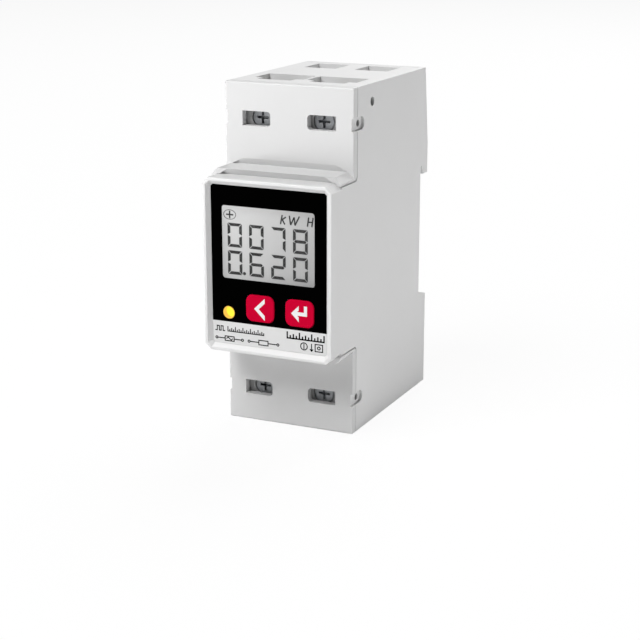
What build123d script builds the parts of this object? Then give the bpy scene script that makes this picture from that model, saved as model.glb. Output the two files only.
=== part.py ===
from build123d import *
import os

# Smart energy meter, two modules wide, for a 35 mm DIN rail. All sizes are in millimetres.
# X runs across the meter, Y from its front to the rail and Z up. The origin is on the rail's
# centre line, in the plane where the meter seats on the rail.

os.makedirs("parts", exist_ok=True)

# Overall sizes of the case
width = 35.8
height = 90.0
side_wall = 1.8
top_wall = 1.8
edge_round = 0.3
cover_face_y = -46.2

# Display bulge: a full-height band in front, and a lower body behind it
bulge_height = 45.0
bulge_reach = 13.1
band_depth = 5.9
bulge_chamfer = 1.6
bulge_wall = 1.6
rim_width = 0.8
bevel_width = 1.0
recess_depth = 1.07
film_thickness = 0.4
floor_thickness = 1.4
fit_gap = 0.1

# Terminal covers and the shadow gaps around them
cover_thickness = 2.1
shoulder_rise = 1.5
seam_gap = 0.3
shoulder_gap = 0.45
groove_depth = 0.6
cover_corner_round = 1.0
cover_top_round = 0.55
foot_bevel_height = 1.5
foot_bevel_depth = 0.5
foot_mitre = 3.2
shoulder_lean = 0.8
shoulder_mitre = 2.9
terminal_inset = 9.2
slot_width = 7.86
slot_height = 3.8
slot_inset = 8.8
slot_round = 0.9

# Sealing ears of the covers and the hole in the side wall
ear_sink = 0.65
ear_thickness = 1.1
ear_height = 3.4
ear_reach = 6.4
ear_hole_radius = 0.9
ear_hole_reach = 3.85
ear_lip = 0.4
ear_relief_radius = 1.3
side_hole_radius = 1.2
side_hole_reach = 11.5
side_hole_inset = 4.65
side_hole_lip = 0.5
side_relief_radius = 2.0
side_relief_depth = 1.0

# Rear of the case around the 35 mm rail
rail_width = 35.0
rail_play = 0.5
rear_depth = 5.15
top_rear_depth = 2.6
rear_slope_start_z = 24.0
hook_overlap = 1.8
hook_mouth = 2.0
hook_root = 0.9
lower_step_play = 0.05
lower_step_drop = 1.5
base_thickness = 2.0

# Cable entries, their lead-ins, and the pockets at the rear of the top wall
entry_rib = 0.9
entry_inset = 3.55
entry_reach = 9.75
entry_depth = 8.4
lead_in_depth = 3.0
lead_in_drop = 0.9
lead_in_width = 9.6
pocket_rib = 5.6
pocket_inset = 5.7
pocket_y = -6.5
pocket_depth_y = 9.6
pocket_sink = 10.0
pocket_wall = 1.2

# Terminals
cage_inset = 9.3
cage_width = 12.0
cage_height = 12.0
cage_reach = 8.6
cage_front_wall = 2.4
cage_rear_wall = 2.0
wire_width = 8.2
wire_depth = 7.0
screw_radius = 2.9
screw_length = 8.2
thread_gap = 0.05
screw_gap = 0.1
guide_gap = 0.3
drive_width = 0.7
drive_length = 3.2
drive_depth = 1.4
carrier_gap = 0.1
carrier_floor = 3.3

# Busbars, shunt and their sense leads
bar_width = 8.0
bar_thickness = 1.8
bar_end_margin = 0.8
shunt_length = 10.0
lead_radius = 0.6
lead_reach = 4.8
lead_bend = 2.5

# Display window, liquid crystal display and its digits
window_left_inset = 4.75
window_right_inset = 5.14
window_top_inset = 7.0
window_bottom_inset = 19.14
window_round = 0.8
lens_margin = 0.8
lens_thickness = 1.2
glass_margin = 1.8
glass_thickness = 2.0
backlight_thickness = 2.0
frame_wall = 0.9
digit_width = 4.05
digit_height = 6.2
digit_pitch = 6.12
digit_inset = 0.77
row_inset = 0.68
row_pitch = 7.13
segment_width = 0.76
segment_gap = 0.24
segment_thickness = 0.08
sign_stroke = 0.36
ring_stroke = 0.12
plus_size = 2.0
sign_inset = 1.55
sign_height = 2.35

# Keys, switches and pulse lamp
key_width = 8.0
key_height = 7.05
key_round = 1.9
key_inset_z = 12.1
key_inset_x = 9.3
key_pitch = 11.06
key_proud = 0.12
key_play = 0.15
key_flange = 0.7
key_flange_thickness = 0.8
key_flange_play = 0.05
key_travel = 0.4
mark_depth = 0.5
mark_proud = 0.03
switch_size = 6.0
switch_height = 3.5
plunger_radius = 1.7
plunger_height = 0.5
plunger_sink = 1.3
lamp_inset_x = 6.47
lamp_inset_z = 10.15
lamp_radius = 1.62
lamp_wall = 0.14
lamp_sink = 0.08
lamp_depth = 1.6
lamp_play = 0.08
label_height = 7.72
lamp_flange = 0.5

# Boards
board_thickness = 1.6
board_margin = 0.55
display_board_reach = 8.3
main_board_margin = 1.0
main_board_rear_y = -7.0
main_board_gap = 1.3
post_radius = 1.5

# Rail clip and its spring
clip_width = 14.0
clip_thickness = 2.9
clip_wing = 1.1
clip_wing_thickness = 1.3
clip_play = 0.15
clip_seat_y = 2.0
clip_nose_height = 1.9
clip_nose_y = 1.2
clip_wing_top_z = -22.0
clip_foot_gap = 0.3
clip_travel = 4.0
spring_wire = 0.25
spring_radius = 1.6
spring_turns = 7
spring_top_z = -26.0
spring_foot_height = 4.1
spring_centre_y = -0.2
spring_tab_height = 2.0
spring_room = 2.5

# Screws that hold the rear base
base_screw_inset = 5.3
base_screw_height = 5.0
base_screw_radius = 1.25
base_screw_head_radius = 2.4
base_screw_head_height = 1.3
base_screw_sink = 1.6
base_pad_depth = 1.0
base_screw_length = 8.0
boss_radius = 2.6
boss_length = 8.5

# Places that follow from the sizes above
half_width = width / 2
half_height = height / 2
inner_x = half_width - side_wall
inner_z = half_height - top_wall
rim_y = cover_face_y - bulge_reach
band_rear_y = rim_y + band_depth
face_y = rim_y + recess_depth
floor_y = face_y + film_thickness
floor_back_y = floor_y + floor_thickness
cover_back_y = cover_face_y + cover_thickness
case_front_y = cover_back_y + seam_gap
shoulder_top_z = bulge_height / 2 + shoulder_rise
shoulder_under_z = shoulder_top_z - cover_thickness
bulge_body_z = shoulder_under_z - shoulder_gap
bulge_inner_z = bulge_body_z - bulge_wall
slot_top_z = rail_width / 2 + rail_play
hook_tip_z = rail_width / 2 - hook_overlap
terminal_z = half_height - terminal_inset
cage_x = half_width - cage_inset
carrier_floor_z = terminal_z - cage_height / 2 - carrier_floor
slot_x = half_width - slot_inset
side_hole_z = half_height - side_hole_inset
lower_step_z = -rail_width / 2 - lower_step_play
lower_rear_z = lower_step_z - lower_step_drop
hook_inner_z = slot_top_z + base_thickness
base_inner_y = rear_depth - base_thickness
top_base_inner_y = top_rear_depth - base_thickness
base_screw_x = half_width - base_screw_inset
base_screw_upper_z = hook_inner_z + boss_radius + guide_gap + fit_gap
base_screw_lower_z = base_screw_height - half_height
spring_foot_z = spring_foot_height - half_height
entry_inner_x = entry_rib / 2
entry_outer_x = half_width - entry_inset
entry_front_y = cover_face_y + entry_reach
entry_rear_y = entry_front_y + entry_depth
entry_width = entry_outer_x - entry_inner_x
entry_x = (entry_outer_x + entry_inner_x) / 2
cage_front_y = cover_face_y + cage_reach
wire_front_y = cage_front_y + cage_front_wall
wire_rear_y = wire_front_y + wire_depth
cage_rear_y = wire_rear_y + cage_rear_wall
window_x = (window_left_inset - window_right_inset) / 2
window_z = (window_bottom_inset - window_top_inset) / 2
window_width = width - window_left_inset - window_right_inset
window_height = bulge_height - window_top_inset - window_bottom_inset
digit_left_x = window_left_inset - half_width + digit_inset
row_low_z = window_bottom_inset - bulge_height / 2 + row_inset
sign_low_z = bulge_height / 2 - window_top_inset - sign_inset - sign_height
key_z = key_inset_z - bulge_height / 2
key_right_x = half_width - key_inset_x
key_left_x = key_right_x - key_pitch
lamp_x = lamp_inset_x - half_width
lamp_z = lamp_inset_z - bulge_height / 2
label_top_z = label_height - bulge_height / 2
glass_width = window_width + 2 * glass_margin
glass_height = window_height + 2 * glass_margin
glass_front_y = floor_back_y + fit_gap
glass_back_y = glass_front_y + glass_thickness
backlight_back_y = glass_back_y + backlight_thickness
display_board_y = rim_y + display_board_reach
display_board_back_y = display_board_y + board_thickness
display_board_width = 2 * (inner_x - board_margin)
display_board_height = 2 * (bulge_inner_z - board_margin)
main_board_x = inner_x - main_board_gap - board_thickness
main_board_height = 2 * (carrier_floor_z - main_board_margin)
guide_half = clip_width / 2 + clip_wing + 1.3
guide_back_y = clip_seat_y - 2.5
signs = (-1, 1)


def front_plane(y):
    """Plane across the meter at depth y, with local x along X, local y up, and its normal to the front."""
    return Plane.XZ.offset(-y)


def octagon(half_x, half_z, cut):
    """Outline of a rectangle with its four corners cut at 45 degrees."""
    with BuildLine() as outline:
        Polyline(
            (-half_x + cut, half_z), (half_x - cut, half_z), (half_x, half_z - cut),
            (half_x, -half_z + cut), (half_x - cut, -half_z), (-half_x + cut, -half_z),
            (-half_x, -half_z + cut), (-half_x, half_z - cut), close=True,
        )
    make_face(outline.edges())


def inset_cut(amount):
    """Corner cut of the bulge's outline once it is drawn in by an amount on all sides."""
    return bulge_chamfer - amount * (2 - 2 ** 0.5)


def finish_part(builder, label):
    """Label a finished piece and write it to its own file."""
    builder.part.label = label
    export_step(builder.part, f"parts/{label}.step")


# Side outline of the case, seen from the side: local x is Y and local y is Z.
rear_outline = [
    (top_rear_depth, half_height),
    (rear_depth, rear_slope_start_z),
    (rear_depth, hook_tip_z),
    (hook_mouth, hook_tip_z),
    (hook_root, slot_top_z),
    (0, slot_top_z),
    (0, lower_step_z),
    (rear_depth, lower_rear_z),
    (rear_depth, -half_height),
]

# Front housing: one moulding with the display bulge, both side walls, the top and the bottom wall
with BuildPart() as front_housing:
    with BuildSketch(Plane.YZ):
        with BuildLine():
            Polyline(
                (band_rear_y, -bulge_body_z), (band_rear_y, bulge_body_z), (case_front_y, bulge_body_z),
                (case_front_y, half_height), *rear_outline, (case_front_y, -half_height),
                (case_front_y, -bulge_body_z), close=True,
            )
        make_face()
        inner_corners = [v for v in vertices() if abs(v.X - case_front_y) < 0.01 and abs(v.Y) < bulge_height / 2]
        fillet(inner_corners, cover_corner_round + seam_gap)
    extrude(amount=half_width, both=True)
    side_faces = faces().sort_by(Axis.X)[0::len(faces()) - 1]
    fillet([e for e in side_faces.edges() if e.center().Y > case_front_y + 0.1], edge_round)
    with BuildSketch(front_plane(band_rear_y)):
        octagon(half_width, bulge_height / 2, bulge_chamfer)
    extrude(amount=band_depth)
    rim_edges = faces().sort_by(Axis.Y)[0].edges()
    fillet(rim_edges, edge_round)

    # Inner lip that the covers seat on: it leaves a shadow gap round each cover
    with BuildSketch(Plane.YZ):
        with BuildLine():
            lip_top = half_height - groove_depth
            Polyline(
                (band_rear_y, -shoulder_under_z), (band_rear_y, shoulder_under_z),
                (cover_back_y, shoulder_under_z), (cover_back_y, lip_top), (case_front_y + 1, lip_top),
                (case_front_y + 1, -lip_top), (cover_back_y, -lip_top),
                (cover_back_y, -shoulder_under_z), close=True,
            )
        make_face()
        lip_corners = [v for v in vertices() if abs(v.X - cover_back_y) < 0.01 and abs(v.Y) < bulge_height / 2]
        fillet(lip_corners, cover_corner_round)
    extrude(amount=half_width - groove_depth, both=True)

    # Hollow inside, open to the rear and to both terminal bays
    with BuildSketch(Plane.YZ):
        with BuildLine():
            bay_front = case_front_y - 2
            Polyline(
                (floor_back_y, -bulge_inner_z), (floor_back_y, bulge_inner_z), (case_front_y, bulge_inner_z),
                (case_front_y, shoulder_under_z), (bay_front, shoulder_under_z), (bay_front, inner_z),
                (rear_depth + 1, inner_z), (rear_depth + 1, -inner_z), (bay_front, -inner_z),
                (bay_front, -shoulder_under_z), (case_front_y, -shoulder_under_z),
                (case_front_y, -bulge_inner_z), close=True,
            )
        make_face()
    extrude(amount=inner_x, both=True, mode=Mode.SUBTRACT)

    # Room for the rear base between the side walls, and for the clip's guide in the bottom wall
    for end, base_y in ((1, top_base_inner_y), (-1, base_inner_y)):
        with Locations((0, base_y - fit_gap + 10, end * half_height)):
            Box(2 * inner_x, 20, 4 * top_wall, mode=Mode.SUBTRACT)
    with Locations((0, guide_back_y - fit_gap + 10, -half_height)):
        Box(2 * (guide_half + fit_gap), 20, 4 * top_wall, mode=Mode.SUBTRACT)

    # Bezel: a sloping inner edge, then a straight pocket for the film
    with BuildSketch(front_plane(rim_y)):
        octagon(half_width - rim_width, bulge_height / 2 - rim_width, inset_cut(rim_width))
    with BuildSketch(front_plane(face_y)):
        film_inset = rim_width + bevel_width
        octagon(half_width - film_inset, bulge_height / 2 - film_inset, inset_cut(film_inset))
    loft(mode=Mode.SUBTRACT)
    with BuildSketch(front_plane(floor_y)):
        octagon(half_width - film_inset, bulge_height / 2 - film_inset, inset_cut(film_inset))
    extrude(amount=film_thickness, mode=Mode.SUBTRACT)

    # Openings in the bezel's floor for the window, the keys and the lamp
    with BuildSketch(front_plane(floor_back_y)):
        with Locations((window_x, window_z)):
            RectangleRounded(
                window_width + 2 * lens_margin, window_height + 2 * lens_margin, window_round + lens_margin
            )
        with Locations((key_left_x, key_z), (key_right_x, key_z)):
            RectangleRounded(key_width + 2 * key_play, key_height + 2 * key_play, key_round + key_play)
        with Locations((lamp_x, lamp_z)):
            Circle(lamp_radius + lamp_play)
    extrude(amount=floor_thickness, mode=Mode.SUBTRACT)

    # Posts behind the bezel that carry the lower edge of the display board
    with BuildSketch(front_plane(display_board_y)):
        with Locations((-inner_x + post_radius, -bulge_inner_z + post_radius),
                       (inner_x - post_radius, -bulge_inner_z + post_radius)):
            Circle(post_radius)
    extrude(amount=display_board_y - floor_back_y)

    # Cable entries through the top and bottom walls, with a sloping lead-in at the front of each
    for end in signs:
        for side in signs:
            entry_y = (entry_front_y + entry_rear_y) / 2
            with Locations((side * entry_x, entry_y, end * half_height)):
                Box(entry_width, entry_depth, 4 * top_wall, mode=Mode.SUBTRACT)
            with BuildSketch(Plane.YZ.offset(side * entry_x)):
                with BuildLine():
                    Polyline(
                        (entry_front_y - lead_in_depth, end * half_height),
                        (entry_front_y, end * half_height),
                        (entry_front_y, end * (half_height - lead_in_drop)), close=True,
                    )
                make_face()
            extrude(amount=lead_in_width / 2, both=True, mode=Mode.SUBTRACT)

    # Two blind pockets at the rear of the top wall
    pocket_width = half_width - pocket_inset - pocket_rib / 2
    pocket_x = (half_width - pocket_inset + pocket_rib / 2) / 2
    pocket_box_z = half_height - (pocket_sink + pocket_wall) / 2
    with Locations((-pocket_x, pocket_y, pocket_box_z), (pocket_x, pocket_y, pocket_box_z)):
        Box(pocket_width + 2 * pocket_wall, pocket_depth_y + 2 * pocket_wall, pocket_sink + pocket_wall)
    pocket_cut_z = half_height - pocket_sink / 2
    with Locations((-pocket_x, pocket_y, pocket_cut_z), (pocket_x, pocket_y, pocket_cut_z)):
        Box(pocket_width, pocket_depth_y, pocket_sink, mode=Mode.SUBTRACT)

    # Seats for the sealing ears, and the round hole near the top of each side wall, wider behind its thin lip
    ear_end_y = cover_face_y + ear_reach
    for end in signs:
        with BuildSketch(Plane.YZ):
            with Locations((cover_face_y + (ear_reach - ear_height / 2) / 2, end * terminal_z)):
                Rectangle(ear_reach - ear_height / 2, ear_height)
            with Locations((ear_end_y - ear_height / 2, end * terminal_z)):
                Circle(ear_height / 2)
        extrude(amount=half_width, both=True, mode=Mode.SUBTRACT)
    with BuildSketch(Plane.YZ):
        with Locations((cover_face_y + side_hole_reach, side_hole_z)):
            Circle(side_hole_radius)
    extrude(amount=half_width, both=True, mode=Mode.SUBTRACT)
    with BuildSketch(Plane.YZ):
        with Locations((cover_face_y + side_hole_reach, side_hole_z)):
            Circle(side_relief_radius)
    extrude(amount=half_width - side_hole_lip, both=True, mode=Mode.SUBTRACT)

    # Bosses for the base screws, joined to the side walls by ribs
    boss_end_y = base_inner_y - base_pad_depth - fit_gap
    for z in (base_screw_upper_z, base_screw_lower_z):
        with BuildSketch(front_plane(boss_end_y)):
            with Locations((-base_screw_x, z), (base_screw_x, z)):
                Circle(boss_radius)
            rib_x = (base_screw_x + inner_x + 0.2) / 2
            with Locations((-rib_x, z), (rib_x, z)):
                Rectangle(inner_x + 0.2 - base_screw_x, boss_radius)
        extrude(amount=boss_length)
        with BuildSketch(front_plane(boss_end_y)):
            with Locations((-base_screw_x, z), (base_screw_x, z)):
                Circle(base_screw_radius + thread_gap)
        extrude(amount=base_screw_length, mode=Mode.SUBTRACT)

    # Ribs on the right side wall that the main board lies against
    board_rib_x = main_board_x + board_thickness
    board_rib_height = main_board_height - 4
    for y in (case_front_y + 1.5, main_board_rear_y - 2):
        with Locations(((board_rib_x + half_width) / 2, y, 0)):
            Box(half_width - board_rib_x, 2, board_rib_height)
finish_part(front_housing, "front_housing")

# Rear base: closes the case between the side walls and carries the rail hook and the clip's guide
with BuildPart() as rear_base:
    with BuildSketch(Plane.YZ):
        with BuildLine():
            Polyline(
                *rear_outline, (base_inner_y, -half_height), (base_inner_y, lower_rear_z - base_thickness),
                (-base_thickness, lower_step_z - base_thickness), (-base_thickness, hook_inner_z),
                (base_inner_y, hook_inner_z), (base_inner_y, rear_slope_start_z),
                (top_base_inner_y, half_height), close=True,
            )
        make_face()
    extrude(amount=inner_x - fit_gap, both=True)

    # Thicker wall round the clip, with a spring housing on its inner side
    guide_top_z = lower_step_z
    guide_height = guide_top_z + half_height
    with Locations((0, (guide_back_y + base_inner_y) / 2, guide_top_z - guide_height / 2)):
        Box(2 * guide_half, base_inner_y - guide_back_y, guide_height)
    spring_box_front_y = spring_centre_y - spring_room - 1.4
    spring_room_top_z = spring_top_z + spring_tab_height + clip_play
    spring_box_height = spring_room_top_z + 2 - (spring_foot_z - 2)
    with Locations((0, (spring_box_front_y + guide_back_y) / 2, spring_foot_z - 2 + spring_box_height / 2)):
        Box(2 * (spring_room + 1.4), guide_back_y - spring_box_front_y, spring_box_height)

    # T-shaped way for the clip, open to the rear and downwards
    way_height = half_height + lower_step_z + 2
    with Locations((0, clip_seat_y + rear_depth / 2, lower_step_z + 2 - way_height / 2)):
        Box(clip_width + 2 * clip_play, rear_depth, way_height, mode=Mode.SUBTRACT)
    nose_room_low_z = lower_step_z - clip_travel - 2 * clip_play
    with Locations((0, clip_nose_y - fit_gap + rear_depth / 2, nose_room_low_z + 5)):
        Box(clip_width + 2 * clip_play, rear_depth, 10, mode=Mode.SUBTRACT)
    wing_way_height = half_height + clip_wing_top_z + clip_play
    with Locations((0, clip_seat_y + (clip_wing_thickness + clip_play) / 2,
                    clip_wing_top_z + clip_play - wing_way_height / 2)):
        Box(clip_width + 2 * (clip_wing + clip_play), clip_wing_thickness + clip_play, wing_way_height,
            mode=Mode.SUBTRACT)
    with Locations((0, (spring_centre_y - spring_room + clip_seat_y) / 2,
                    (spring_room_top_z + spring_foot_z) / 2)):
        Box(2 * spring_room, clip_seat_y - spring_centre_y + spring_room, spring_room_top_z - spring_foot_z,
            mode=Mode.SUBTRACT)

    # Counterbored holes for the four base screws
    screw_seat_y = rear_depth - base_screw_sink
    for z in (base_screw_upper_z, base_screw_lower_z):
        with BuildSketch(front_plane(base_inner_y + 0.2)):
            with Locations((-base_screw_x, z), (base_screw_x, z)):
                Circle(boss_radius)
        extrude(amount=base_pad_depth + 0.2)
        with BuildSketch(front_plane(rear_depth + 1)):
            with Locations((-base_screw_x, z), (base_screw_x, z)):
                Circle(base_screw_head_radius + guide_gap)
        extrude(amount=rear_depth + 1 - screw_seat_y, mode=Mode.SUBTRACT)
        with BuildSketch(front_plane(rear_depth + 1)):
            with Locations((-base_screw_x, z), (base_screw_x, z)):
                Circle(base_screw_radius + guide_gap)
        extrude(amount=rear_depth + 6, mode=Mode.SUBTRACT)
finish_part(rear_base, "rear_base")

# Base screws: pan heads with a cross recess
with BuildPart() as base_screws:
    screw_top_y = screw_seat_y + base_screw_head_height
    for z in (base_screw_upper_z, base_screw_lower_z):
        with BuildSketch(front_plane(screw_top_y)):
            with Locations((-base_screw_x, z), (base_screw_x, z)):
                Circle(base_screw_head_radius)
        extrude(amount=base_screw_head_height)
        with BuildSketch(front_plane(screw_seat_y)):
            with Locations((-base_screw_x, z), (base_screw_x, z)):
                Circle(base_screw_radius)
        extrude(amount=base_screw_length)
        with BuildSketch(front_plane(screw_top_y)):
            with Locations((-base_screw_x, z), (base_screw_x, z)):
                Rectangle(2.6, 0.6)
                Rectangle(0.6, 2.6)
        extrude(amount=0.9, mode=Mode.SUBTRACT)
finish_part(base_screws, "base_screws")

# Upper terminal cover: an L of one wall thickness, with two slots over the terminal screws.
# Its shoulder ends in a thin lip over the band of the bulge.
with BuildPart() as upper_terminal_cover:
    shoulder_front_y = band_rear_y + fit_gap
    lip_front_y = shoulder_front_y - shoulder_lean
    with BuildSketch(Plane.YZ):
        with BuildLine():
            Polyline(
                (cover_face_y, half_height), (cover_back_y, half_height), (cover_back_y, shoulder_under_z),
                (lip_front_y, shoulder_under_z), (lip_front_y, shoulder_top_z), (cover_face_y, shoulder_top_z),
                close=True,
            )
        make_face()
        corner = [v for v in vertices() if abs(v.X - cover_back_y) < 0.01 and v.Y < terminal_z]
        fillet(corner, cover_corner_round)
    extrude(amount=half_width, both=True)
    front_edges = faces().sort_by(Axis.Z)[-1].edges().sort_by(Axis.Y)[:1]
    fillet(front_edges, cover_top_round)
    side_edges = [e for e in edges().filter_by(Axis.Z) if abs(e.center().Y - cover_face_y) < 0.01]
    fillet(side_edges, edge_round)

    # Room for the band under the lip, and cut corners in line with those of the bulge
    with BuildSketch(front_plane(shoulder_front_y)):
        octagon(half_width + fit_gap, bulge_height / 2 + fit_gap, inset_cut(-fit_gap))
    extrude(amount=bulge_reach, mode=Mode.SUBTRACT)
    with BuildSketch(front_plane(cover_face_y)):
        for side in signs:
            with BuildLine():
                Polyline(
                    (side * half_width, shoulder_top_z), (side * (half_width - bulge_chamfer), shoulder_top_z),
                    (side * half_width, shoulder_top_z - bulge_chamfer), close=True,
                )
            make_face()
    extrude(amount=bulge_reach, mode=Mode.SUBTRACT)

    # Bevels that lean back below the lip's edge and at the foot of the face, with mitred ends
    for edge_y, edge_z, drop, lean, mitre in (
        (lip_front_y, shoulder_top_z, shoulder_rise - fit_gap, shoulder_lean, shoulder_mitre),
        (cover_face_y, shoulder_top_z + foot_bevel_height, foot_bevel_height, foot_bevel_depth, foot_mitre),
    ):
        with BuildSketch(Plane(origin=(0, edge_y, edge_z), x_dir=(1, 0, 0), z_dir=(0, -drop, -lean))):
            with BuildLine():
                slant = (drop ** 2 + lean ** 2) ** 0.5
                low_half = half_width - bulge_chamfer
                Polyline(
                    (mitre - low_half, 0), (low_half - mitre, 0), (low_half, -slant), (-low_half, -slant),
                    close=True,
                )
            make_face()
        extrude(amount=lean * 1.5, mode=Mode.SUBTRACT)

    # Slots over the screws: square at their outer end, rounded at their inner end
    with BuildSketch(front_plane(cover_back_y)):
        for side in signs:
            with Locations((side * slot_x, terminal_z)):
                Rectangle(slot_width, slot_height)
        inner_ends = vertices().sort_by(lambda v: abs(v.X))[:4]
        fillet(inner_ends, slot_round)
    extrude(amount=cover_thickness, mode=Mode.SUBTRACT)

    # Sealing ears that reach back into the side walls
    ear_outer_x = half_width - ear_sink
    for side in signs:
        notch_x = side * (ear_outer_x + ear_sink)
        with Locations((notch_x, cover_face_y + cover_thickness / 2, terminal_z)):
            Box(2 * ear_sink, cover_thickness, ear_height, mode=Mode.SUBTRACT)
        ear_half = ear_height / 2 - fit_gap
        ear_tip_y = cover_face_y + ear_reach - fit_gap
        with BuildSketch(Plane.YZ.offset(side * (ear_outer_x - ear_thickness / 2))):
            with Locations(((cover_back_y - 0.1 + ear_tip_y - ear_half) / 2, terminal_z)):
                Rectangle(ear_tip_y - ear_half - cover_back_y + 0.1, 2 * ear_half)
            with Locations((ear_tip_y - ear_half, terminal_z)):
                Circle(ear_half)
            with Locations((cover_face_y + ear_hole_reach, terminal_z)):
                Circle(ear_hole_radius, mode=Mode.SUBTRACT)
        extrude(amount=ear_thickness / 2, both=True)
        with BuildSketch(Plane.YZ.offset(side * (ear_outer_x - ear_lip - ear_thickness / 2))):
            with Locations((cover_face_y + ear_hole_reach, terminal_z)):
                Circle(ear_relief_radius)
        extrude(amount=ear_thickness / 2, both=True, mode=Mode.SUBTRACT)
finish_part(upper_terminal_cover, "upper_terminal_cover")

# Lower terminal cover: the same piece the other way up
with BuildPart() as lower_terminal_cover:
    mirror(upper_terminal_cover.part, about=Plane.XY)
finish_part(lower_terminal_cover, "lower_terminal_cover")

# Upper terminal carrier: insulating block with a chamber for each cage, open to the rear
with BuildPart() as upper_terminal_carrier:
    carrier_front_y = cover_back_y + 2 * seam_gap
    carrier_depth = cage_rear_y - carrier_front_y
    carrier_top_z = inner_z - carrier_gap
    carrier_height = carrier_top_z - carrier_floor_z
    with Locations((0, carrier_front_y + carrier_depth / 2, carrier_floor_z + carrier_height / 2)):
        Box(2 * (inner_x - carrier_gap), carrier_depth, carrier_height)
    for side in signs:
        with Locations((side * cage_x, cage_front_y + 10 - carrier_gap, terminal_z)):
            Box(cage_width + 2 * carrier_gap, 20, cage_height + 2 * carrier_gap, mode=Mode.SUBTRACT)
        with BuildSketch(front_plane(cage_front_y)):
            with Locations((side * cage_x, terminal_z)):
                Circle(screw_radius + screw_gap)
        extrude(amount=cage_front_y - carrier_front_y, mode=Mode.SUBTRACT)
        with Locations((side * entry_x, (entry_front_y + entry_rear_y) / 2, inner_z)):
            Box(entry_width, entry_depth, 1.4, mode=Mode.SUBTRACT)
        with Locations((side * cage_x, (wire_front_y + wire_rear_y) / 2, inner_z)):
            Box(wire_width, wire_depth, 4, mode=Mode.SUBTRACT)
    for side in signs:
        ear_clear_x = ear_outer_x - ear_thickness - carrier_gap
        with Locations((side * inner_x, carrier_front_y, terminal_z)):
            Box(2 * (inner_x - ear_clear_x) + 0.4, 2 * (ear_end_y - carrier_front_y + fit_gap),
                ear_height + 2 * fit_gap, mode=Mode.SUBTRACT)
        with BuildSketch(Plane.YZ.offset(side * inner_x)):
            with Locations((cover_face_y + side_hole_reach, side_hole_z)):
                Circle(side_relief_radius)
        extrude(amount=side_relief_depth, both=True, mode=Mode.SUBTRACT)
finish_part(upper_terminal_carrier, "upper_terminal_carrier")

# Lower terminal carrier: the same moulding the other way up
with BuildPart() as lower_terminal_carrier:
    mirror(upper_terminal_carrier.part, about=Plane.XY)
finish_part(lower_terminal_carrier, "lower_terminal_carrier")

# Terminals 1 and 2 are at the top, 3 and 4 at the bottom; odd ones are on the left
terminals = [(1, -1, 1), (2, 1, 1), (3, -1, -1), (4, 1, -1)]
for number, side, end in terminals:
    # Cage: a block of nickel-plated brass with a square way for the wire and a thread in its front wall
    with BuildPart() as cage:
        with Locations((side * cage_x, (cage_front_y + cage_rear_y) / 2, end * terminal_z)):
            Box(cage_width, cage_rear_y - cage_front_y, cage_height)
        chamfer(edges().filter_by(Axis.Z), 0.5)
        with Locations((side * cage_x, (wire_front_y + wire_rear_y) / 2, end * terminal_z)):
            Box(wire_width, wire_depth, cage_height, mode=Mode.SUBTRACT)
        with BuildSketch(front_plane(wire_front_y)):
            with Locations((side * cage_x, end * terminal_z)):
                Circle(screw_radius + thread_gap)
        extrude(amount=cage_front_wall, mode=Mode.SUBTRACT)
    finish_part(cage, f"terminal_cage_{number}")

    # Set screw with a cross recess; at rest it is fully open, its tip level with the cage's front wall
    with BuildPart() as terminal_screw:
        screw_head_y = wire_front_y - screw_length
        with BuildSketch(front_plane(wire_front_y)):
            with Locations((side * cage_x, end * terminal_z)):
                Circle(screw_radius)
        extrude(amount=screw_length)
        chamfer(faces().sort_by(Axis.Y)[0].edges(), 0.35)
        chamfer(faces().sort_by(Axis.Y)[-1].edges(), 0.5)
        with BuildSketch(front_plane(screw_head_y + drive_depth)):
            with Locations((side * cage_x, end * terminal_z)):
                Rectangle(drive_length, drive_width)
                Rectangle(drive_width, drive_length)
        extrude(amount=drive_depth, mode=Mode.SUBTRACT)
    finish_part(terminal_screw, f"terminal_screw_{number}")

# Mains path: copper bars behind the cages, and the resistance alloy link of the shunt in the phase bar
bar_top_z = terminal_z + cage_height / 2 - bar_end_margin
bar_centre_y = cage_rear_y + bar_thickness / 2
bars = {
    "phase_busbar_in": (-cage_x, shunt_length / 2, bar_top_z),
    "shunt": (-cage_x, -shunt_length / 2, shunt_length / 2),
    "phase_busbar_out": (-cage_x, -bar_top_z, -shunt_length / 2),
    "neutral_busbar": (cage_x, -bar_top_z, bar_top_z),
}
for name, (x, low, high) in bars.items():
    with BuildPart() as bar:
        with Locations((x, bar_centre_y, (low + high) / 2)):
            Box(bar_width, bar_thickness, high - low)
    finish_part(bar, name)

# Sense leads: two from the ends of the shunt and one from the neutral bar, to the main board
with BuildPart() as sense_leads:
    lead_z = shunt_length / 2 + 2
    for x, z in ((-cage_x, lead_z), (-cage_x, -lead_z), (cage_x, 0)):
        turn_y = cage_rear_y - lead_reach
        with BuildLine():
            FilletPolyline((x, cage_rear_y, z), (x, turn_y, z), (main_board_x, turn_y, z), radius=lead_bend)
        with BuildSketch(front_plane(cage_rear_y)):
            with Locations((x, z)):
                Circle(lead_radius)
        sweep()
finish_part(sense_leads, "sense_leads")

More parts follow.
